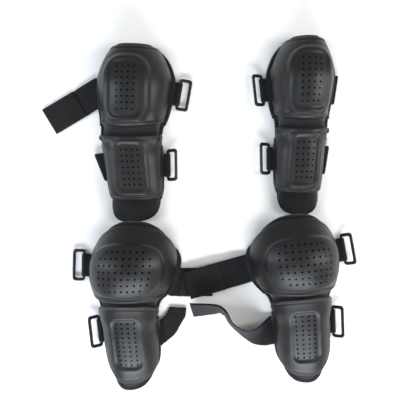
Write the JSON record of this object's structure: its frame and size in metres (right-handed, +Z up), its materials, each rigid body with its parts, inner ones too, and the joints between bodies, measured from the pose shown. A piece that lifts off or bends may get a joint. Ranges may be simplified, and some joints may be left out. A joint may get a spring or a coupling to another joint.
{
  "type": "knee guards",
  "caption": "Hard-shell knee guards with matching elbow guards, each with a domed cup and a lower shell on a folding padded liner, with straps, hook patches and rings.",
  "frame": {"origin": "middle of the set's footprint, on the surface that it lies on", "axes": "+Y from the knee guards to the elbow guards, +X to the right seen from above, +Z up from the surface"},
  "size_m": [0.5574, 0.6126, 0.0959],
  "materials": {
    "shell": "semi-matte moulded",
    "liner": "matte knitted cloth over foam",
    "webbing": "matte elastic webbing",
    "hook": "matte hook tape",
    "ring": "semi-gloss moulded",
    "rivet": "satin black"
  },
  "bodies": {
    "elbow_left_upper": {"elbow_left_cup_shell": "shell", "elbow_left_upper_liner": "liner", "elbow_left_waist_band": "liner", "elbow_left_upper_ring_tab": "webbing"},
    "elbow_left_lower": {"elbow_left_lower_shell": "shell", "elbow_left_lower_liner": "liner", "elbow_left_outer_rivet": "rivet", "elbow_left_inner_rivet": "rivet", "elbow_left_lower_ring_tab": "webbing"},
    "elbow_left_upper_ring": {"elbow_left_upper_ring": "ring"},
    "elbow_left_upper_strap": {"elbow_left_upper_strap": "webbing", "elbow_left_upper_hook_patch": "hook"},
    "elbow_left_lower_ring": {"elbow_left_lower_ring": "ring"},
    "elbow_left_lower_strap": {"elbow_left_lower_strap": "webbing", "elbow_left_lower_hook_patch": "hook"},
    "elbow_right_upper": {"elbow_right_cup_shell": "shell", "elbow_right_upper_liner": "liner", "elbow_right_waist_band": "liner", "elbow_right_upper_ring_tab": "webbing"},
    "elbow_right_lower": {"elbow_right_lower_shell": "shell", "elbow_right_lower_liner": "liner", "elbow_right_outer_rivet": "rivet", "elbow_right_inner_rivet": "rivet", "elbow_right_lower_ring_tab": "webbing"},
    "elbow_right_upper_ring": {"elbow_right_upper_ring": "ring"},
    "elbow_right_upper_strap": {"elbow_right_upper_strap": "webbing", "elbow_right_upper_hook_patch": "hook"},
    "elbow_right_lower_ring": {"elbow_right_lower_ring": "ring"},
    "elbow_right_lower_strap": {"elbow_right_lower_strap": "webbing", "elbow_right_lower_hook_patch": "hook"},
    "knee_left_upper": {"knee_left_cup_shell": "shell", "knee_left_upper_liner": "liner", "knee_left_waist_band": "liner", "knee_left_upper_ring_tab": "webbing"},
    "knee_left_lower": {"knee_left_lower_shell": "shell", "knee_left_lower_liner": "liner", "knee_left_outer_rivet": "rivet", "knee_left_inner_rivet": "rivet", "knee_left_lower_ring_tab": "webbing"},
    "knee_left_upper_ring": {"knee_left_upper_ring": "ring"},
    "knee_left_upper_strap": {"knee_left_upper_strap": "webbing", "knee_left_upper_hook_patch": "hook"},
    "knee_left_lower_ring": {"knee_left_lower_ring": "ring"},
    "knee_left_lower_strap": {"knee_left_lower_strap": "webbing", "knee_left_lower_hook_patch": "hook"},
    "knee_right_upper": {"knee_right_cup_shell": "shell", "knee_right_upper_liner": "liner", "knee_right_waist_band": "liner", "knee_right_upper_ring_tab": "webbing"},
    "knee_right_lower": {"knee_right_lower_shell": "shell", "knee_right_lower_liner": "liner", "knee_right_outer_rivet": "rivet", "knee_right_inner_rivet": "rivet", "knee_right_lower_ring_tab": "webbing"},
    "knee_right_upper_ring": {"knee_right_upper_ring": "ring"},
    "knee_right_upper_strap": {"knee_right_upper_strap": "webbing", "knee_right_upper_hook_patch": "hook"},
    "knee_right_lower_ring": {"knee_right_lower_ring": "ring"},
    "knee_right_lower_strap": {"knee_right_lower_strap": "webbing", "knee_right_lower_hook_patch": "hook"}
  },
  "joints": [
    {"name": "elbow_left_lift", "type": "slide", "parent": "knee_left_upper", "child": "elbow_left_upper", "axis": [0, 0, 1], "range_m": [0, 0.12]},
    {"name": "elbow_right_lift", "type": "slide", "parent": "knee_left_upper", "child": "elbow_right_upper", "axis": [0, 0, 1], "range_m": [0, 0.12]},
    {"name": "knee_right_lift", "type": "slide", "parent": "knee_left_upper", "child": "knee_right_upper", "axis": [0, 0, 1], "range_m": [0, 0.12]},
    {"name": "elbow_left_fold", "type": "hinge", "parent": "elbow_left_upper", "child": "elbow_left_lower", "pos_m": [-0.11865, 0.13175, 0.03], "axis": [1, 0, 0], "range_deg": [-8, 75], "deforming": ["elbow_left_waist_band"]},
    {"name": "elbow_left_upper_ring_swivel", "type": "hinge", "parent": "elbow_left_upper", "child": "elbow_left_upper_ring", "pos_m": [-0.03589, 0.21247, 0.0052], "axis": [-0.1689, -0.9856, 0], "range_deg": [-90, 90]},
    {"name": "elbow_left_upper_strap_swing", "type": "hinge", "parent": "elbow_left_upper", "child": "elbow_left_upper_strap", "pos_m": [-0.18415, 0.21352, 0.0052], "axis": [0.0818, -0.9967, 0], "range_deg": [0, 90]},
    {"name": "elbow_left_lower_ring_swivel", "type": "hinge", "parent": "elbow_left_lower", "child": "elbow_left_lower_ring", "pos_m": [-0.05481, 0.08686, 0.0052], "axis": [0.0147, -0.9999, 0], "range_deg": [-124, 56]},
    {"name": "elbow_left_lower_strap_swing", "type": "hinge", "parent": "elbow_left_lower", "child": "elbow_left_lower_strap", "pos_m": [-0.17343, 0.08244, 0.0094], "axis": [-0.3698, 0.9291, 0], "range_deg": [0, 165]},
    {"name": "elbow_right_fold", "type": "hinge", "parent": "elbow_right_upper", "child": "elbow_right_lower", "pos_m": [0.17835, 0.14425, 0.03], "axis": [1, 0, 0], "range_deg": [-8, 75], "deforming": ["elbow_right_waist_band"]},
    {"name": "elbow_right_upper_ring_swivel", "type": "hinge", "parent": "elbow_right_upper", "child": "elbow_right_upper_ring", "pos_m": [0.11349, 0.21945, 0.0052], "axis": [-0.1052, 0.9945, 0], "range_deg": [-124, 56]},
    {"name": "elbow_right_upper_strap_swing", "type": "hinge", "parent": "elbow_right_upper", "child": "elbow_right_upper_strap", "pos_m": [0.24142, 0.21979, 0.0094], "axis": [-0.1458, -0.9893, 0], "range_deg": [0, 165]},
    {"name": "elbow_right_lower_ring_swivel", "type": "hinge", "parent": "elbow_right_lower", "child": "elbow_right_lower_ring", "pos_m": [0.12514, 0.09813, 0.0052], "axis": [-0.0154, 0.9999, 0], "range_deg": [-124, 56]},
    {"name": "elbow_right_lower_strap_swing", "type": "hinge", "parent": "elbow_right_lower", "child": "elbow_right_lower_strap", "pos_m": [0.22513, 0.0958, 0.0094], "axis": [-0.1557, -0.9878, 0], "range_deg": [0, 165]},
    {"name": "knee_left_fold", "type": "hinge", "parent": "knee_left_upper", "child": "knee_left_lower", "pos_m": [-0.11965, -0.16725, 0.03], "axis": [1, 0, 0], "range_deg": [-4, 60], "deforming": ["knee_left_waist_band"]},
    {"name": "knee_left_upper_ring_swivel", "type": "hinge", "parent": "knee_left_upper", "child": "knee_left_upper_ring", "pos_m": [-0.20274, -0.0901, 0.0052], "axis": [0.0199, 0.9998, 0], "range_deg": [-90, 90]},
    {"name": "knee_left_upper_strap_swing", "type": "hinge", "parent": "knee_left_upper", "child": "knee_left_upper_strap", "pos_m": [-0.03746, -0.12133, 0.0052], "axis": [0.3841, 0.9233, 0], "range_deg": [0, 90]},
    {"name": "knee_left_lower_ring_swivel", "type": "hinge", "parent": "knee_left_lower", "child": "knee_left_lower_ring", "pos_m": [-0.1745, -0.20613, 0.0052], "axis": [-0.1158, 0.9933, 0], "range_deg": [-124, 56]},
    {"name": "knee_left_lower_strap_swing", "type": "hinge", "parent": "knee_left_lower", "child": "knee_left_lower_strap", "pos_m": [-0.0659, -0.21025, 0.0052], "axis": [0.0109, -0.9999, 0], "range_deg": [0, 60]},
    {"name": "knee_right_fold", "type": "hinge", "parent": "knee_right_upper", "child": "knee_right_lower", "pos_m": [0.17705, -0.15472, 0.03], "axis": [0.9962, 0.0872, 0], "range_deg": [-4, 60], "deforming": ["knee_right_waist_band"]},
    {"name": "knee_right_upper_ring_swivel", "type": "hinge", "parent": "knee_right_upper", "child": "knee_right_upper_ring", "pos_m": [0.25609, -0.06279, 0.0052], "axis": [0.1773, -0.9841, 0], "range_deg": [-124, 56]},
    {"name": "knee_right_upper_strap_swing", "type": "hinge", "parent": "knee_right_upper", "child": "knee_right_upper_strap", "pos_m": [0.08354, -0.09714, 0.0052], "axis": [-0.2606, 0.9654, 0], "range_deg": [0, 90]},
    {"name": "knee_right_lower_ring_swivel", "type": "hinge", "parent": "knee_right_lower", "child": "knee_right_lower_ring", "pos_m": [0.23795, -0.18995, 0.0052], "axis": [0.0345, -0.9994, 0], "range_deg": [-124, 56]},
    {"name": "knee_right_lower_strap_swing", "type": "hinge", "parent": "knee_right_lower", "child": "knee_right_lower_strap", "pos_m": [0.12859, -0.20614, 0.0052], "axis": [0.1368, -0.9906, 0], "range_deg": [0, 90]}
  ]
}
